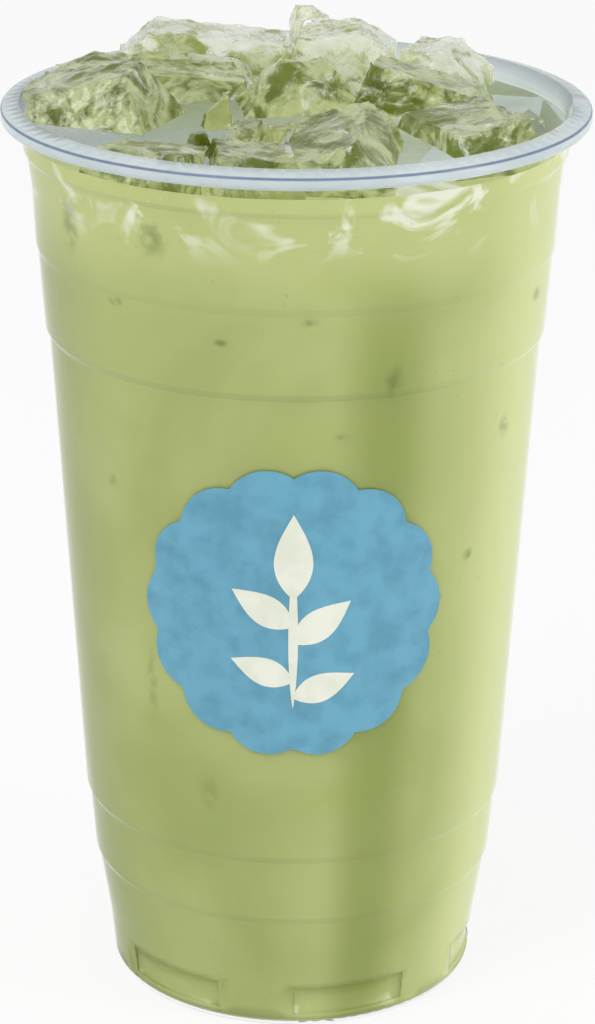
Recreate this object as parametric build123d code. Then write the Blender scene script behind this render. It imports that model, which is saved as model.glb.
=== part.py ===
"""An iced matcha latte in a clear plastic cup: the cup, the drink and the ice heaped in it."""
import os
from collections import namedtuple
from math import cos, radians, sin, tan

from build123d import *

# ---- the cup: driving sizes, in millimetres --------------------------------------------
cup_height = 156.6          # table to the top of the rim
rim_radius = 49.0           # outer edge of the rolled rim
mouth_radius = 45.9         # inner edge of the rim's flat top
neck_radius = 45.6          # outside of the wall, just under the rim
foot_radius = 31.9          # outside of the wall, just above the table
wall = 0.5                  # sheet thickness of the wall
floor_thickness = 0.6
foot_round = 1.2            # rounding between the foot and the table
foot_ring_width = 2.2       # flat ring that the cup stands on
push_up = 1.5               # how far the middle of the floor is raised
push_up_slope = 1.6         # width of the slope between ring and raised floor

# the rim is the sheet rolled over outwards
rim_top_fall = 0.7          # the flat top falls this much to its outer edge
rim_lip = 2.6               # from the top of the rim to the bottom of its lip
rim_skirt = 3.6             # from the top of the rim to the end of the rolled-in skirt
rim_slit = 0.3              # gap between the skirt's end and the neck
rim_round = 0.5

# the wall's outer face: heights above the table with the radius beyond the foot's
low_wall = [
    (8.7, 0.75),
    (21.1, 2.7),
    (22.3, 3.25),
    (33.3, 4.1),
    (34.5, 4.7),
]
# and depths below the rim's top with the radius inside the neck's
high_wall = [
    (39.2, 4.0),
    (38.0, 3.3),
    (24.7, 2.35),
    (23.5, 2.0),
    (13.8, 1.5),
    (10.0, 1.0),
    (8.3, 0.75),
    (7.4, 0.2),
]
ledge_round = 0.3

# pressed panels round the foot
foot_panels = 6
panel_span = 36.7           # degrees
panel_bearing = -71.0       # middle of the first panel, degrees from +X
panel_depth = 0.5
panel_bottom = 2.2
panel_top = 7.8
panel_slope = 0.08          # the foot's own lean, radius per height

# ---- the drink and the ice ---------------------------------------------------------------
fill_depth = 5.6            # from the top of the rim down to the drink
drink_gap = 0.05            # keeps the drink's curved face off the wall's
ice_gap = 0.2               # between ice and wall
ice_overhang = 1.6          # how far ice may lie out over the rim's flat top
crest_share = 0.95          # how near its ridge a steep lump is carried up
sunk_draft = 8.0            # how much a lump narrows below the drink, degrees
heap_height = 30.0          # no ice stands higher above the drink than this

# Each chunk is a lump that is widest where it leaves the drink. place is its middle there,
# top the height of its upper face over that middle, draft the lean of its sides,
# dip the tilt of its upper face towards a bearing, and chips cut further faces, each
# a bearing, an elevation and a distance from the middle. Bearings are degrees from +X.
Chunk = namedtuple("Chunk", "name place size turn top draft dip depth chips")

chunks = [
    Chunk("ice_left", (-34.5, 2.0), (32, 22), -23, 9.4, 32, (17, 192), 12, []),
    Chunk("ice_right", (28.0, -13.0), (17, 25), 24, 6.7, 15, (9, 190), 14, []),
    Chunk("ice_front", (7.0, -25.0), (22, 26), -8, 7.7, 26, (20, 200), 14, [(-20, 50, 9.2)]),
    Chunk("ice_front_low", (-6.5, -32.5), (16, 17), 6, 5.6, 16, (6, 20), 12, []),
    Chunk("ice_front_left", (-22.5, -29.0), (22, 14), -32, 5.2, 20, (4, 100), 10, []),
    Chunk("ice_nub", (-15.5, -24.5), (6, 7), 20, 6.4, 14, (8, 180), 8, []),
    Chunk("ice_pocket", (-0.5, -18.0), (11, 9), 20, 6.0, 14, (5, 90), 9, []),
    Chunk("ice_small", (-8.2, -17.0), (8, 8), -12, 6.0, 12, (4, 200), 8, []),
    Chunk("ice_spike", (-13.0, -6.0), (6, 5), 25, 7.0, 6, (42, 185), 10, []),
    Chunk("ice_chip", (40.0, -2.0), (3.5, 8), 4, 2.6, 8, (4, 180), 8, []),
    Chunk("ice_middle", (1.0, 9.0), (26, 20), 8, 10.5, 39, (6, 0), 12, []),
    Chunk("ice_right_middle", (21.0, 7.5), (25, 19), -14, 8.8, 22, (14, 0), 12, []),
    Chunk("ice_left_slab", (-26.5, 16.5), (38, 17), 10, 8.0, 12, (7, 0), 9, [(180, 68, 11.4)]),
    Chunk("ice_back", (8.5, 25.0), (19, 17), -8, 12.8, 6, (8, 180), 14, [(0, 60, 12.5)]),
    Chunk("ice_back_shard", (2.6, 31.0), (13, 10), 10, 14.8, 12, (6, 0), 14, [(0, 50, 11.6)]),
    Chunk("ice_back_right", (25.6, 25.5), (17, 15), -22, 9.6, 10, (4, 180), 12, [(-20, 50, 8.6)]),
    Chunk("ice_back_left", (-16.0, 31.0), (34, 17), 2, 10.8, 10, (6, 0), 13, [(180, 48, 15.0)]),
]

drink_level = cup_height - fill_depth
skirt_level = cup_height - rim_skirt


def turned(outline):
    """The solid of revolution of a closed outline of (radius, height)."""
    return revolve(Plane.XZ * make_face(outline), Axis.Z)


def wall_face(inset=0.0):
    """The wall's face from the foot's rounding to the neck, moved in by inset."""
    points = [(foot_radius - inset, foot_round)]
    points += [(foot_radius + beyond - inset, height) for height, beyond in low_wall]
    points += [(neck_radius - within - inset, cup_height - depth) for depth, within in high_wall]
    points.append((neck_radius - inset, skirt_level))
    return FilletPolyline(*points, radius=ledge_round)


def foot_panel_blocks(inset=0.0):
    """What the pressed panels take off a body whose foot is moved in by inset."""
    face = foot_radius - inset - panel_depth
    clear = face + 4 * panel_depth
    bottom_face = face + panel_slope * panel_bottom
    top_face = face + panel_slope * panel_top
    outline = Polyline(
        (bottom_face, panel_bottom),
        (clear, panel_bottom),
        (clear, panel_top),
        (top_face, panel_top),
        close=True,
    )
    block = revolve(Plane.XZ * make_face(outline), Axis.Z, panel_span)
    start = panel_bearing - panel_span / 2
    pitch = 360 / foot_panels
    return [Rot(0, 0, start + pitch * number) * block for number in range(foot_panels)]


def vessel(inset, lowest):
    """The body inside the wall moved in by inset, with its ring bottom at lowest."""
    corner = foot_radius - inset
    ring_outer = foot_radius - foot_round
    ring_inner = ring_outer - foot_ring_width
    raised = ring_inner - push_up_slope
    wall_line = wall_face(inset)
    bottom = Polyline((0, lowest + push_up), (raised, lowest + push_up), (ring_inner, lowest),
                      (ring_outer, lowest))
    side = Line((ring_outer, lowest), (corner, foot_round)) if inset else TangentArc(
        (ring_outer, lowest), (corner, foot_round), tangent=(1, 0))
    top = Polyline((neck_radius - inset, skirt_level), (0, skirt_level), (0, lowest + push_up))
    body = turned(bottom + side + wall_line + top)
    for block in foot_panel_blocks(inset):
        body -= block
    return body


def mouth(inset, top):
    """The flared space from the neck up, moved in by inset, to top, a little over the rim."""
    flare = [
        (0, skirt_level),
        (neck_radius - inset, skirt_level),
        (mouth_radius + wall - inset, cup_height),
        (mouth_radius + wall - inset, top),
        (0, top),
    ]
    return turned(Polyline(*flare, close=True))


def rim_roll():
    """The rim: the sheet rolled over outwards, hollow, with its skirt just off the neck."""
    roll = make_face(Polyline(
        (neck_radius - wall, skirt_level),
        (neck_radius, skirt_level),
        (rim_radius, cup_height - rim_lip),
        (rim_radius, cup_height - rim_top_fall),
        (mouth_radius, cup_height),
        close=True,
    ))
    hollow = offset(roll, -wall)
    roll = fillet(roll.vertices().sort_by(Axis.X)[-2:], rim_round)
    slit = Pos(neck_radius + rim_slit / 2, skirt_level) * Rectangle(rim_slit, 3 * wall)
    return revolve(Plane.XZ * (roll - hollow - slit), Axis.Z)


def make_cup():
    """The plastic cup, one thin sheet from the raised floor to the rolled rim."""
    shell = vessel(0.0, 0.0)
    shell -= vessel(wall, floor_thickness)
    return shell + rim_roll()


def make_ice_room():
    """Where ice may be: inside the wall, and above the rim a little over its flat top."""
    over_rim = cup_height + ice_gap
    reach = mouth_radius + ice_overhang
    top = drink_level + heap_height
    above = Pos(0, 0, (over_rim + top) / 2) * Cylinder(reach, top - over_rim)
    return vessel(wall + ice_gap, floor_thickness) + mouth(wall + ice_gap, over_rim) + above


def cut_off(body, middle, bearing, elevation, reach):
    """The body without what lies past a plane that faces bearing and elevation."""
    level = cos(radians(elevation))
    facing = Vector(
        level * cos(radians(bearing)),
        level * sin(radians(bearing)),
        sin(radians(elevation)),
    )
    return split(body, Plane(middle + facing * reach, z_dir=facing), keep=Keep.BOTTOM)


def make_chunk(chunk):
    """One lump of ice, all flat faces, where it sits in the heap."""
    middle = Vector(*chunk.place, drink_level)
    footprint = Plane(middle) * Rot(0, 0, chunk.turn) * Rectangle(*chunk.size)
    ridge = min(chunk.size) / 2 / tan(radians(chunk.draft))
    rise = min(heap_height / 2, crest_share * ridge)
    upper = extrude(footprint, rise, taper=chunk.draft)
    lower = extrude(footprint, -chunk.depth, taper=sunk_draft)
    lump = upper + lower
    tilt, towards = chunk.dip
    crown = middle + Vector(0, 0, chunk.top)
    lump = cut_off(lump, crown, towards, 90 - tilt, 0.0)
    for bearing, elevation, reach in chunk.chips:
        lump = cut_off(lump, middle, bearing, elevation, reach)
    return lump


def largest(body):
    """The largest of a body's solids."""
    return body.solids().sort_by(SortBy.VOLUME)[-1]


def make_heap():
    """All the ice: the front lumps whole, each further one cut where they lean on it."""
    room = make_ice_room()
    heap = {}
    for chunk in chunks:
        lump = make_chunk(chunk) & room
        for settled in heap.values():
            lump -= settled
        heap[chunk.name] = largest(lump)
    return heap


def make_latte(heap):
    """The drink up to its level, round the ice that floats in it."""
    body = vessel(wall + drink_gap, floor_thickness + drink_gap)
    body = split(body, Plane.XY.offset(drink_level), keep=Keep.BOTTOM)
    return largest(body - list(heap.values()))


def main():
    os.makedirs("parts", exist_ok=True)
    heap = make_heap()
    nodes = {"cup": make_cup(), "latte": make_latte(heap)}
    nodes.update(heap)
    for name, body in nodes.items():
        export_step(largest(body), f"parts/{name}.step")


main()
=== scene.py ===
from math import cos, pi, radians, sin

import bmesh
import bpy
from mathutils import Matrix, Vector, noise


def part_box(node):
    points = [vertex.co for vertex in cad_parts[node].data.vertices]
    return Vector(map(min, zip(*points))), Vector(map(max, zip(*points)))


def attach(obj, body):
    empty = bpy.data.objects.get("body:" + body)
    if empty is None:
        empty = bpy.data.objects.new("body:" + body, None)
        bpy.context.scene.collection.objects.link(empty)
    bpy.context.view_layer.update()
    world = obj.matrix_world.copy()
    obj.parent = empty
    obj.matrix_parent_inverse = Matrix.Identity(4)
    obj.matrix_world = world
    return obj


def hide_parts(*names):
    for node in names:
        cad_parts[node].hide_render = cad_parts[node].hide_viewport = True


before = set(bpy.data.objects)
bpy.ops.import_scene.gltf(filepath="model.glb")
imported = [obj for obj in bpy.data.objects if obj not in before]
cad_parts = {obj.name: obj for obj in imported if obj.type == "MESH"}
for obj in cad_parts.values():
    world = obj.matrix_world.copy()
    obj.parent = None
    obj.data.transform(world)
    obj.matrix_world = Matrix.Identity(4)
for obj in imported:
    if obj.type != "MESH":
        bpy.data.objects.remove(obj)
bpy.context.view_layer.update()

MM = 0.001
LATTE_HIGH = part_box("latte")[1]
CUP_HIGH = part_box("cup")[1]
LEVEL = LATTE_HIGH[2]                    # height of the drink
DRINK_RADIUS = LATTE_HIGH[0]             # at the drink's level
RIM = CUP_HIGH[2]                        # height of the rim's top
RIM_RADIUS = CUP_HIGH[0]                 # its outer edge
UNROLL_RADIUS = 0.040                    # patterns on the wall are laid out at this radius
FROSTY = ("ice_back_left", "ice_back_shard", "ice_back", "ice_back_right")
ICE_NODES = sorted(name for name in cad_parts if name.startswith("ice_"))


# ---- helpers -----------------------------------------------------------------------------
def srgb(red, green, blue):
    """A colour written in 0-255 as the linear values that shaders take."""
    def channel(value):
        value /= 255
        return value / 12.92 if value <= 0.04045 else ((value + 0.055) / 1.055) ** 2.4
    return (channel(red), channel(green), channel(blue), 1.0)


def only(piece):
    """Selects this piece alone and makes it active."""
    bpy.ops.object.select_all(action="DESELECT")
    piece.select_set(True)
    bpy.context.view_layer.objects.active = piece


def apply_modifiers(piece):
    """Applies all of a piece's modifiers, in their order."""
    only(piece)
    for modifier in list(piece.modifiers):
        bpy.ops.object.modifier_apply(modifier=modifier.name)


def copy_of(node, name):
    """A merged copy of a CAD node's mesh as a new piece."""
    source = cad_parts[node]
    mesh = source.data.copy()
    mesh.name = name
    mesh.transform(source.matrix_world)
    mesh.materials.clear()
    piece = bpy.data.objects.new(name, mesh)
    bpy.context.scene.collection.objects.link(piece)
    only(piece)
    bpy.ops.object.mode_set(mode="EDIT")
    bpy.ops.mesh.select_all(action="SELECT")
    bpy.ops.mesh.remove_doubles(threshold=0.00001)
    bpy.ops.object.mode_set(mode="OBJECT")
    return piece


# ---- shader building blocks ---------------------------------------------------------------
class Tree:
    """Short words for adding and joining a material's nodes."""

    def __init__(self, tree):
        self.tree = tree
        self.nodes = tree.nodes

    def add(self, kind, **values):
        node = self.nodes.new(kind)
        for key, value in values.items():
            setattr(node, key, value)
        return node

    def join(self, source, target):
        self.tree.links.new(source, target)

    def feed(self, target, value):
        if isinstance(value, bpy.types.NodeSocket):
            self.join(value, target)
        else:
            target.default_value = value

    def math(self, operation, first, second=0.0, third=None, clamp=False):
        node = self.add("ShaderNodeMath", operation=operation, use_clamp=clamp)
        self.feed(node.inputs[0], first)
        self.feed(node.inputs[1], second)
        if third is not None:
            self.feed(node.inputs[2], third)
        return node.outputs[0]

    def noise(self, vector, scale, detail=3.0, roughness=0.5, distortion=0.0):
        node = self.add("ShaderNodeTexNoise")
        self.join(vector, node.inputs["Vector"])
        node.inputs["Scale"].default_value = scale
        node.inputs["Detail"].default_value = detail
        node.inputs["Roughness"].default_value = roughness
        node.inputs["Distortion"].default_value = distortion
        return node.outputs["Fac"]

    def step(self, value, low, high, low_out=0.0, high_out=1.0):
        node = self.add("ShaderNodeMapRange", interpolation_type="SMOOTHSTEP")
        self.feed(node.inputs["Value"], value)
        node.inputs["From Min"].default_value = low
        node.inputs["From Max"].default_value = high
        node.inputs["To Min"].default_value = low_out
        node.inputs["To Max"].default_value = high_out
        return node.outputs["Result"]

    def mix(self, amount, first, second):
        node = self.add("ShaderNodeMix", data_type="RGBA")
        self.feed(node.inputs[0], amount)
        self.feed(node.inputs[6], first)
        self.feed(node.inputs[7], second)
        return node.outputs[2]

    def bump(self, height, strength, distance):
        node = self.add("ShaderNodeBump")
        self.join(height, node.inputs["Height"])
        node.inputs["Strength"].default_value = strength
        node.inputs["Distance"].default_value = distance
        return node.outputs["Normal"]

    def object_place(self):
        return self.add("ShaderNodeTexCoord").outputs["Object"]


def new_material(name):
    material = bpy.data.materials.new(name)
    material.use_nodes = True
    tree = Tree(material.node_tree)
    return material, tree, material.node_tree.nodes["Principled BSDF"]


def let_light_through(material, tree, shader):
    """Shadow and diffuse rays pass the clear piece, so what it holds is lit."""
    path = tree.add("ShaderNodeLightPath")
    soft = tree.math("MAXIMUM", path.outputs["Is Shadow Ray"], path.outputs["Is Diffuse Ray"])
    clear = tree.add("ShaderNodeBsdfTransparent")
    mix = tree.add("ShaderNodeMixShader")
    tree.join(soft, mix.inputs[0])
    tree.join(shader.outputs[0], mix.inputs[1])
    tree.join(clear.outputs[0], mix.inputs[2])
    tree.join(mix.outputs[0], tree.nodes["Material Output"].inputs["Surface"])


def spot_group():
    """A soft spot on the unrolled wall: middle, half width, half height and strength."""
    group = bpy.data.node_groups.new("soft spot", "ShaderNodeTree")
    face = group.interface
    face.new_socket("Place", in_out="INPUT", socket_type="NodeSocketVector")
    face.new_socket("Middle", in_out="INPUT", socket_type="NodeSocketVector")
    face.new_socket("Half size", in_out="INPUT", socket_type="NodeSocketVector")
    face.new_socket("Strength", in_out="INPUT", socket_type="NodeSocketFloat")
    face.new_socket("Mask", in_out="OUTPUT", socket_type="NodeSocketFloat")
    tree = Tree(group)
    start = tree.add("NodeGroupInput")
    end = tree.add("NodeGroupOutput")
    away = tree.add("ShaderNodeVectorMath", operation="SUBTRACT")
    tree.join(start.outputs["Place"], away.inputs[0])
    tree.join(start.outputs["Middle"], away.inputs[1])
    share = tree.add("ShaderNodeVectorMath", operation="DIVIDE")
    tree.join(away.outputs[0], share.inputs[0])
    tree.join(start.outputs["Half size"], share.inputs[1])
    length = tree.add("ShaderNodeVectorMath", operation="LENGTH")
    tree.join(share.outputs[0], length.inputs[0])
    mask = tree.step(length.outputs["Value"], 1.2, 0.1)
    tree.join(tree.math("MULTIPLY", mask, start.outputs["Strength"]), end.inputs["Mask"])
    return group


def unrolled(tree, place):
    """(way round the cup from its front, height) in metres, for a pattern on the wall."""
    split = tree.add("ShaderNodeSeparateXYZ")
    tree.join(place, split.inputs[0])
    back = tree.math("MULTIPLY", split.outputs["Y"], -1.0)
    turn = tree.math("ARCTAN2", split.outputs["X"], back)
    along = tree.math("MULTIPLY", turn, UNROLL_RADIUS)
    flat = tree.add("ShaderNodeCombineXYZ")
    tree.join(along, flat.inputs["X"])
    tree.join(split.outputs["Z"], flat.inputs["Y"])
    return flat.outputs[0], split.outputs["Z"], turn


# painted shade where ice shows dimly through the drink at the wall:
# (degrees round from the front, height, half width, half height, strength), millimetres
SUNK_ICE_SHADOW_SPOTS = [
    (-56, 142, 2.6, 6.0, 0.5),
    (-31, 143, 2.8, 4.0, 0.55),
    (-42, 131, 1.6, 1.2, 0.7),
    (-16, 127, 1.4, 0.8, 0.7),
    (3, 131, 1.6, 0.9, 0.6),
    (22, 120, 1.8, 3.6, 0.6),
    (11, 111, 1.6, 1.0, 0.55),
    (-48, 99, 1.6, 1.2, 0.5),
    (26, 86, 1.8, 1.3, 0.8),
    (31, 84, 1.4, 1.0, 0.7),
    (36, 80, 2.2, 1.2, 0.75),
    (47, 86, 1.6, 1.4, 0.6),
    (-38, 64, 1.4, 8.0, 0.35),
    (58, 107, 2.0, 2.4, 0.5),
    (68, 128, 2.2, 1.6, 0.5),
    (-22, 46, 2.2, 4.0, 0.3),
    (120, 120, 2.4, 2.0, 0.6),
    (150, 92, 1.8, 1.4, 0.6),
    (-140, 112, 2.2, 1.6, 0.6),
    (-105, 84, 1.8, 2.6, 0.5),
    (175, 62, 1.6, 3.0, 0.4),
]


# the drink's shades
DRINK_DARK, DRINK_LIGHT = srgb(158, 170, 92), srgb(178, 188, 116)
DRINK_PAINTED_LIGHT = srgb(212, 219, 150)       # painted light towards the right edge
DRINK_PAINTED_SHADE_BAND = srgb(134, 147, 62)          # painted shade: the darker upright band
DRINK_PAINTED_SHADE_LEFT = srgb(140, 150, 84)         # painted shade towards the left edge
DRINK_NECK = srgb(206, 212, 142)         # creamier just under the level
FOAM = srgb(236, 238, 214)
# painted shade where ice meets the wall
SUNK_ICE_PAINTED_SHADE = srgb(98, 112, 38)
POWDER = srgb(104, 116, 44)


def drink_shades(tree, place, wall, height, turn):
    """The drink's colour with painted light at the right and painted shade in an upright band and at the
    left, before ice and powder show in it.
    """
    cloud = tree.noise(place, 28.0, 3.0, 0.5, 0.6)
    base = tree.mix(tree.step(cloud, 0.3, 0.7), DRINK_DARK, DRINK_LIGHT)
    # painted light: the drink is made brighter towards the right
    base = tree.mix(tree.step(turn, 0.55, 1.15), base, DRINK_PAINTED_LIGHT)
    # painted shade: a darker upright band right of the front, stronger lower down
    shade_band = tree.math("MULTIPLY", tree.step(turn, 0.12, 0.34), tree.step(turn, 0.62, 0.40))
    lower = tree.step(height, 150 * MM, 120 * MM)
    shade_band = tree.math("MULTIPLY", tree.math("MULTIPLY", shade_band, lower), 0.75)
    base = tree.mix(shade_band, base, DRINK_PAINTED_SHADE_BAND)
    # painted shade: the drink is made darker and khaki towards the left
    left = tree.step(turn, -0.75, -1.25)
    base = tree.mix(tree.math("MULTIPLY", left, 0.6), base, DRINK_PAINTED_SHADE_LEFT)
    neck = tree.step(height, 128 * MM, 146 * MM)
    base = tree.mix(tree.math("MULTIPLY", neck, 0.55), base, DRINK_NECK)
    streak = tree.step(tree.noise(wall, 95.0, 3.0, 0.6, 1.2), 0.52, 0.66)
    foam = tree.math("MULTIPLY", tree.step(height, 138.5 * MM, 148 * MM), streak)
    return tree.mix(foam, base, FOAM)


def sunk_ice_shadow_mask(tree, wall):
    """Painted shade where the ice at the wall shows through, each spot with a ragged edge."""
    group = spot_group()
    shade = None
    for bearing, height, half_width, half_height, strength in SUNK_ICE_SHADOW_SPOTS:
        spot = tree.add("ShaderNodeGroup")
        spot.node_tree = group
        tree.join(wall, spot.inputs["Place"])
        spot.inputs["Middle"].default_value = (radians(bearing) * UNROLL_RADIUS, height * MM, 0.0)
        spot.inputs["Half size"].default_value = (half_width * MM, half_height * MM, 1.0)
        spot.inputs["Strength"].default_value = strength
        mask = spot.outputs["Mask"]
        shade = mask if shade is None else tree.math("MAXIMUM", shade, mask)
    ragged = tree.step(tree.noise(wall, 420.0, 2.0), 0.3, 0.6)
    return tree.math("MULTIPLY", shade, ragged)


def powder_mask(tree, place):
    """Specks of undissolved powder, in some places only."""
    grain = tree.add("ShaderNodeTexVoronoi")
    tree.join(place, grain.inputs["Vector"])
    grain.inputs["Scale"].default_value = 900.0
    speck = tree.step(grain.outputs["Distance"], 0.16, 0.07)
    some = tree.step(tree.noise(place, 260.0, 1.0), 0.56, 0.62)
    return tree.math("MULTIPLY", speck, tree.math("MULTIPLY", some, 0.55))


def latte_material():
    material, tree, shader = new_material("matcha latte")
    place = tree.object_place()
    wall, height, turn = unrolled(tree, place)
    colour = drink_shades(tree, place, wall, height, turn)
    # painted shade where ice meets the wall
    colour = tree.mix(sunk_ice_shadow_mask(tree, wall), colour, SUNK_ICE_PAINTED_SHADE)
    colour = tree.mix(powder_mask(tree, place), colour, POWDER)
    tree.join(colour, shader.inputs["Base Color"])
    shader.inputs["Roughness"].default_value = 0.28
    shader.inputs["Subsurface Weight"].default_value = 0.15
    shader.inputs["Subsurface Radius"].default_value = (0.6, 0.7, 0.25)
    shader.inputs["Subsurface Scale"].default_value = 0.004
    ripple = tree.noise(place, 220.0, 2.0)
    tree.join(tree.bump(ripple, 0.12, 0.0006), shader.inputs["Normal"])
    return material


def cup_material():
    material, tree, shader = new_material("clear cup plastic")
    place = tree.object_place()
    shader.inputs["Base Color"].default_value = srgb(250, 252, 253)
    shader.inputs["Transmission Weight"].default_value = 1.0
    shader.inputs["IOR"].default_value = 1.22
    drawn = tree.noise(place, 60.0, 2.0)
    tree.join(tree.step(drawn, 0.3, 0.7, 0.02, 0.07), shader.inputs["Roughness"])
    tree.join(tree.bump(tree.noise(place, 34.0, 1.0), 0.05, 0.001), shader.inputs["Normal"])
    let_light_through(material, tree, shader)
    return material


def rim_material():
    """The rolled rim: several layers of the sheet, so it looks milky, with painted shade as a dark line
    on its outer edge.
    """
    material, tree, shader = new_material("milky rim plastic")
    place = tree.object_place()
    split = tree.add("ShaderNodeSeparateXYZ")
    tree.join(place, split.inputs[0])
    flat = tree.add("ShaderNodeCombineXYZ")
    tree.join(split.outputs["X"], flat.inputs["X"])
    tree.join(split.outputs["Y"], flat.inputs["Y"])
    reach = tree.add("ShaderNodeVectorMath", operation="LENGTH")
    tree.join(flat.outputs[0], reach.inputs[0])
    # painted shade: a dark bluish line along the top of the rim's outer edge
    outer = tree.step(reach.outputs["Value"], RIM_RADIUS - 0.35 * MM, RIM_RADIUS - 0.1 * MM)
    upper = tree.step(split.outputs["Z"], RIM - 1.25 * MM, RIM - 0.95 * MM)
    edge = tree.math("MULTIPLY", outer, upper)
    cloudy = tree.mix(tree.noise(place, 70.0, 2.0), srgb(206, 219, 222), srgb(232, 239, 241))
    tree.join(tree.mix(edge, cloudy, srgb(112, 124, 158)), shader.inputs["Base Color"])
    shader.inputs["Transmission Weight"].default_value = 0.45
    shader.inputs["IOR"].default_value = 1.3
    tree.join(tree.step(tree.noise(place, 120.0, 2.0), 0.3, 0.7, 0.12, 0.24), shader.inputs["Roughness"])
    let_light_through(material, tree, shader)
    return material


def ice_material(name, frosted, deep_film_and_shade, pale, white):
    """Wet ice: olive from its matcha film with painted shade in its depths, pale where it catches light,
    white where it is crazed.
    """
    material, tree, shader = new_material(name)
    place = tree.object_place()
    veins = tree.noise(place, 85.0, 4.0, 0.6, 2.2)
    frost = tree.step(tree.noise(place, 130.0, 5.0, 0.68, 0.8), frosted, frosted + 0.14)
    # the deep olive is the matcha film with painted shade; the pale is where the ice catches light
    clear = tree.mix(tree.step(veins, 0.38, 0.60), deep_film_and_shade, pale)
    colour = tree.mix(frost, clear, white)
    tree.join(colour, shader.inputs["Base Color"])
    shader.inputs["Transmission Weight"].default_value = 0.55
    shader.inputs["IOR"].default_value = 1.31
    shader.inputs["Coat Weight"].default_value = 0.6
    shader.inputs["Coat Roughness"].default_value = 0.05
    tree.join(tree.step(frost, 0.0, 1.0, 0.08, 0.45), shader.inputs["Roughness"])
    rough = tree.math("ADD", tree.noise(place, 320.0, 4.0, 0.7), tree.noise(place, 1100.0, 2.0))
    tree.join(tree.bump(rough, 0.35, 0.0008), shader.inputs["Normal"])
    let_light_through(material, tree, shader)
    return material


# ---- the drink -----------------------------------------------------------------------------
WALL_BITE = 0.12 * MM                    # how far the drink reaches into the wall
FILM_RISE = 0.5 * MM                     # film of drink that climbs the wall
POCKET_DEPTH = 17 * MM                   # no ice in the frame is sunk deeper than this


def wall_radius_near_top(height):
    return DRINK_RADIUS - 0.12 * (LEVEL - height) - 1.0 * MM


def make_latte(material):
    """The drink, let into the wall, with its own uneven top in place of the ice's pockets."""
    piece = copy_of("latte", "matcha_latte")
    mesh = bmesh.new()
    mesh.from_mesh(piece.data)
    gone = []
    for face in mesh.faces:
        middle = face.calc_center_median()
        if middle.z < LEVEL - POCKET_DEPTH:
            continue
        radius = Vector((middle.x, middle.y)).length
        outwards = (face.normal.x * middle.x + face.normal.y * middle.y) / max(radius, MM)
        if outwards < 0.5 or radius < wall_radius_near_top(middle.z):
            gone.append(face)
    bmesh.ops.delete(mesh, geom=gone, context="FACES")
    for vertex in mesh.verts:
        radius = Vector((vertex.co.x, vertex.co.y)).length
        if radius > 28 * MM:
            grow = 1 + (WALL_BITE + 0.05 * MM) / radius
            vertex.co.x *= grow
            vertex.co.y *= grow
    mesh.to_mesh(piece.data)
    mesh.free()
    only(piece)
    bpy.ops.object.mode_set(mode="EDIT")
    bpy.ops.mesh.select_all(action="DESELECT")
    bpy.ops.mesh.select_mode(type="EDGE")
    bpy.ops.mesh.select_non_manifold(extend=False)
    # a thin film up the wall, its inner edge, and the surface in rings to the middle
    steps = [(1.003, FILM_RISE), (0.994, 0.0), (0.992, -1.3 * MM), (0.985, -0.5 * MM)]
    steps += [(0.93, 0.0)] * 30
    for scale, rise in steps:
        bpy.ops.mesh.extrude_region_move(TRANSFORM_OT_translate={"value": (0, 0, rise)})
        bpy.ops.transform.resize(value=(scale, scale, 1.0), center_override=(0, 0, 0))
    bpy.ops.mesh.edge_face_add()
    bpy.ops.mesh.select_all(action="SELECT")
    bpy.ops.mesh.normals_make_consistent(inside=False)
    bpy.ops.object.mode_set(mode="OBJECT")
    for vertex in piece.data.vertices:
        radius = Vector((vertex.co.x, vertex.co.y)).length
        if vertex.co.z > LEVEL - 0.4 * MM and radius < DRINK_RADIUS * 0.96:
            vertex.co.z += 0.5 * MM * noise.noise(vertex.co * 140)
    only(piece)
    bpy.ops.object.shade_smooth_by_angle(angle=radians(40))
    piece.data.materials.append(material)
    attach(piece, "root")
    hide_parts("latte")
    return piece


# ---- the ice -------------------------------------------------------------------------------
BIG_LUMP = 12 * MM                       # longer lumps take a coarser mesh and melt further


def make_ice(node, material, number):
    """A half-melted lump: the frame's lump with its edges melted round and its faces hollowed."""
    piece = copy_of(node, node + "_melted")
    low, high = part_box(node)
    size = max(high[axis] - low[axis] for axis in range(3))
    remesh = piece.modifiers.new("remesh", "REMESH")
    remesh.mode = "VOXEL"
    remesh.voxel_size = 0.45 * MM if size > BIG_LUMP else 0.3 * MM
    melt = piece.modifiers.new("melt", "SMOOTH")
    melt.factor = 0.6
    melt.iterations = 5 if size > BIG_LUMP else 3
    apply_modifiers(piece)
    seed = Vector((number * 3.1, number * 1.7, 0))
    normals = [vertex.normal.copy() for vertex in piece.data.vertices]
    for vertex, normal in zip(piece.data.vertices, normals):
        here = vertex.co * 1000
        broad = noise.noise(here * 0.16 + seed)
        ridges = abs(noise.noise(here * 0.33 - seed))
        fine = noise.noise(here * 1.1 + seed)
        sink = 0.28 + 0.55 * (0.5 + broad * 0.5) + 0.7 * (0.4 - ridges) + 0.1 * fine
        vertex.co -= normal * max(sink, 0.05) * MM
    only(piece)
    bpy.ops.object.shade_smooth()
    piece.data.materials.append(material)
    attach(piece, "root")
    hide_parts(node)
    return piece


# ---- the cup -------------------------------------------------------------------------------
SKIRT = RIM - 3.6 * MM                   # where the rolled rim's skirt ends, on the neck


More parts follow.
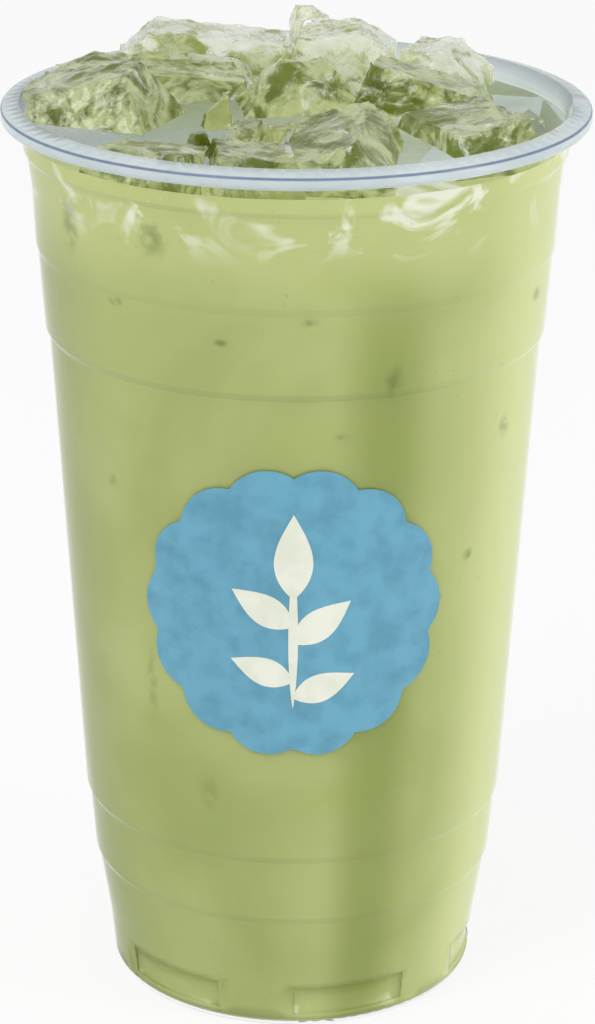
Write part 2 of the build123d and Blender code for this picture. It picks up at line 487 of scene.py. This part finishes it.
def make_cup_part(name, material, keep_upper):
    """The wall or the rim: a copy of the cup cut through at the skirt's end."""
    piece = copy_of("cup", name)
    bpy.ops.object.mode_set(mode="EDIT")
    bpy.ops.mesh.select_all(action="SELECT")
    bpy.ops.mesh.bisect(
        plane_co=(0, 0, SKIRT),
        plane_no=(0, 0, 1),
        use_fill=True,
        clear_inner=keep_upper,
        clear_outer=not keep_upper,
    )
    bpy.ops.object.mode_set(mode="OBJECT")
    bpy.ops.object.shade_smooth_by_angle(angle=radians(35))
    piece.data.materials.append(material)
    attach(piece, "root")
    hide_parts("cup")
    return piece


# ---- the printed badge ---------------------------------------------------------------------
BADGE_HEIGHT = 80 * MM                   # its middle above the table
BADGE_RADIUS = 26 * MM
BADGE_LOBES = 14
PRINT_LIFT = 0.06 * MM                   # the ink's middle stands this far off the wall
INK = 0.04 * MM                          # thickness of the ink
SLICE = 2 * MM                           # prints are cut this fine, so that they bend round the wall
SLICES = 14                              # on each side of the middle
PLAIN_WALL = [(34.5 * MM, 36.6 * MM), (117.4 * MM, 41.6 * MM)]   # heights and outside radii

# the sprig's leaves: length, width, degrees from level, and the root's height over the middle
SPRIG = [
    (15, 6.4, 90, 3),
    (12, 5.4, 38, -5),
    (12, 5.4, 148, -2),
    (11, 5.0, 22, -15),
    (11, 5.0, 160, -12),
]
STEM_LENGTH, STEM_WIDTH, STEM_ROOT = 30 * MM, 1.6 * MM, -17 * MM


def wall_radius(height):
    """Outside radius of the plain middle of the wall."""
    (low, low_radius), (high, high_radius) = PLAIN_WALL
    return low_radius + (high_radius - low_radius) * (height - low) / (high - low)


def wrap(piece, lift):
    """Lays a piece drawn flat, across and up, onto the front of the wall."""
    for vertex in piece.data.vertices:
        across, up = vertex.co.x, vertex.co.y
        radius = wall_radius(BADGE_HEIGHT + up) + lift
        turn = across / radius
        vertex.co = (radius * sin(turn), -radius * cos(turn), BADGE_HEIGHT + up)


def print_material(name, colour, worn):
    material, tree, shader = new_material(name)
    place = tree.object_place()
    patch = tree.step(tree.noise(place, 240.0, 3.0), 0.35, 0.75)
    tree.join(tree.mix(patch, colour, worn), shader.inputs["Base Color"])
    shader.inputs["Roughness"].default_value = 0.3
    tree.join(tree.bump(tree.noise(place, 900.0, 2.0), 0.05, 0.0002), shader.inputs["Normal"])
    return material


def flat_shape(name, outline, material, lift):
    """A closed outline filled, cut fine, wrapped on the wall and given the ink's thickness."""
    mesh = bpy.data.meshes.new(name)
    piece = bpy.data.objects.new(name, mesh)
    bpy.context.scene.collection.objects.link(piece)
    shape = bmesh.new()
    corners = [shape.verts.new((x, y, 0)) for x, y in outline]
    shape.faces.new(corners)
    bmesh.ops.triangulate(shape, faces=shape.faces[:])
    for number in range(-SLICES, SLICES + 1):
        geometry = shape.verts[:] + shape.edges[:] + shape.faces[:]
        bmesh.ops.bisect_plane(
            shape, geom=geometry, plane_co=(number * SLICE, 0, 0), plane_no=(1, 0, 0))
    shape.to_mesh(mesh)
    shape.free()
    wrap(piece, lift)
    only(piece)
    bpy.ops.object.mode_set(mode="EDIT")
    bpy.ops.mesh.select_all(action="SELECT")
    bpy.ops.mesh.normals_make_consistent(inside=False)
    bpy.ops.object.mode_set(mode="OBJECT")
    skin = piece.modifiers.new("ink", "SOLIDIFY")
    skin.thickness = INK
    skin.offset = 0.0
    apply_modifiers(piece)
    bpy.ops.object.shade_smooth_by_angle(angle=radians(30))
    mesh.materials.append(material)
    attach(piece, "root")
    return piece


def scalloped_round(radius, lobes, depth, points=240):
    """A circle whose edge is scalloped inwards by a share of its radius."""
    outline = []
    for number in range(points):
        turn = 2 * pi * number / points
        reach = radius * (1 - depth + depth * abs(cos(lobes * turn / 2)) ** 0.8)
        outline.append((reach * cos(turn), reach * sin(turn)))
    return outline


def leaf(length, width, turn, root, points=40):
    """A pointed leaf from its root along turn, in degrees."""
    outline = []
    for side in (1, -1):
        for number in range(points):
            share = number / points if side > 0 else 1 - number / points
            across = side * width / 2 * sin(pi * share ** 0.8)
            along = length * share
            heading = radians(turn)
            outline.append((
                root[0] + along * cos(heading) - across * sin(heading),
                root[1] + along * sin(heading) + across * cos(heading),
            ))
    return outline


def make_badge():
    blue = print_material("light blue ink", srgb(104, 170, 196), srgb(88, 152, 178))
    white = print_material("white ink", srgb(238, 240, 226), srgb(226, 230, 212))
    ground = scalloped_round(BADGE_RADIUS, BADGE_LOBES, 0.07)
    flat_shape("badge_ground", ground, blue, PRINT_LIFT)
    for number, (length, width, turn, root) in enumerate(SPRIG):
        outline = leaf(length * MM, width * MM, turn, (0, root * MM))
        flat_shape(f"badge_leaf_{number + 1}", outline, white, 2 * PRINT_LIFT)
    stem = leaf(STEM_LENGTH, STEM_WIDTH, 90, (0, STEM_ROOT))
    flat_shape("badge_stem", stem, white, 2 * PRINT_LIFT)


# ---- stage ---------------------------------------------------------------------------------
FLOOR_GLOW = 0.86                        # share of plain white in the floor as it is seen
ROOM_LIGHT = 0.62                        # strength of the room's light on things
ROOM_SEEN = 0.38                         # added where the room itself is seen, for a white back


def make_stage():
    """A pale floor that keeps the cup's shadow."""
    bpy.ops.object.select_all(action="DESELECT")
    bpy.ops.mesh.primitive_plane_add(size=6.0, location=(0, 0, 0))
    floor = bpy.context.object
    floor.name = "floor"
    material, tree, shader = new_material("pale floor")
    shader.inputs["Base Color"].default_value = (0.86, 0.86, 0.86, 1)
    shader.inputs["Roughness"].default_value = 0.9
    path = tree.add("ShaderNodeLightPath")
    glow = tree.add("ShaderNodeEmission")
    glow.inputs["Strength"].default_value = 1.0
    seen = tree.math("MAXIMUM", path.outputs["Is Camera Ray"], path.outputs["Is Transmission Ray"])
    seen = tree.math("MAXIMUM", seen, path.outputs["Is Glossy Ray"])
    mix = tree.add("ShaderNodeMixShader")
    tree.join(tree.math("MULTIPLY", seen, FLOOR_GLOW), mix.inputs[0])
    tree.join(shader.outputs[0], mix.inputs[1])
    tree.join(glow.outputs[0], mix.inputs[2])
    tree.join(mix.outputs[0], tree.nodes["Material Output"].inputs["Surface"])
    floor.data.materials.append(material)


def add_lamp(name, place, size, power):
    """A soft rectangular lamp that faces the cup."""
    data = bpy.data.lights.new(name, "AREA")
    data.shape = "RECTANGLE"
    data.size, data.size_y = size
    data.energy = power
    light = bpy.data.objects.new(name, data)
    bpy.context.scene.collection.objects.link(light)
    light.location = place
    aim = Vector((0, 0, 0.10)) - Vector(place)
    light.rotation_euler = aim.to_track_quat("-Z", "Y").to_euler()


def make_light():
    world = bpy.data.worlds.new("soft room")
    bpy.context.scene.world = world
    world.use_nodes = True
    tree = Tree(world.node_tree)
    background = tree.nodes["Background"]
    path = tree.add("ShaderNodeLightPath")
    seen = tree.math("MAXIMUM", path.outputs["Is Camera Ray"], path.outputs["Is Transmission Ray"])
    strength = tree.math("ADD", tree.math("MULTIPLY", seen, ROOM_SEEN), ROOM_LIGHT)
    tree.join(strength, background.inputs["Strength"])
    background.inputs["Color"].default_value = (1, 1, 1, 1)
    add_lamp("key window", (-0.55, -0.55, 0.95), (0.5, 0.7), 5.5)
    add_lamp("right strip", (0.85, -0.35, 0.35), (0.18, 0.8), 3.0)


CAMERA_PLACE = (0, -0.5474, 0.2893)
CAMERA_AHEAD = (0.00106, 0.93589, -0.35229)
CAMERA_UP = (-0.00615, 0.35229, 0.93587)
CAMERA_LENS = 118.57                     # on a 36 mm wide sensor


def make_camera():
    """The camera stands a little above the rim and looks down at the cup."""
    data = bpy.data.cameras.new("camera")
    data.lens = CAMERA_LENS
    data.sensor_width = 36.0
    data.clip_start = 0.01
    camera = bpy.data.objects.new("camera", data)
    bpy.context.scene.collection.objects.link(camera)
    back = -Vector(CAMERA_AHEAD).normalized()
    right = Vector(CAMERA_UP).cross(back).normalized()
    up = back.cross(right).normalized()
    turn = Matrix((right, up, back)).transposed().to_4x4()
    camera.matrix_world = Matrix.Translation(CAMERA_PLACE) @ turn
    bpy.context.scene.camera = camera


def main():
    bpy.context.scene.view_settings.view_transform = "Standard"
    make_camera()
    make_light()
    make_stage()
    make_latte(latte_material())
    clear_ice = ice_material(
        "clear wet ice", 0.56, srgb(96, 108, 14), srgb(206, 214, 150), srgb(240, 244, 220))
    frosty_ice = ice_material(
        "frosty wet ice", 0.42, srgb(150, 162, 70), srgb(222, 228, 188), srgb(250, 252, 244))
    for number, node in enumerate(ICE_NODES):
        make_ice(node, frosty_ice if node in FROSTY else clear_ice, number)
    make_cup_part("cup_wall", cup_material(), keep_upper=False)
    make_cup_part("cup_rim", rim_material(), keep_upper=True)
    make_badge()


main()
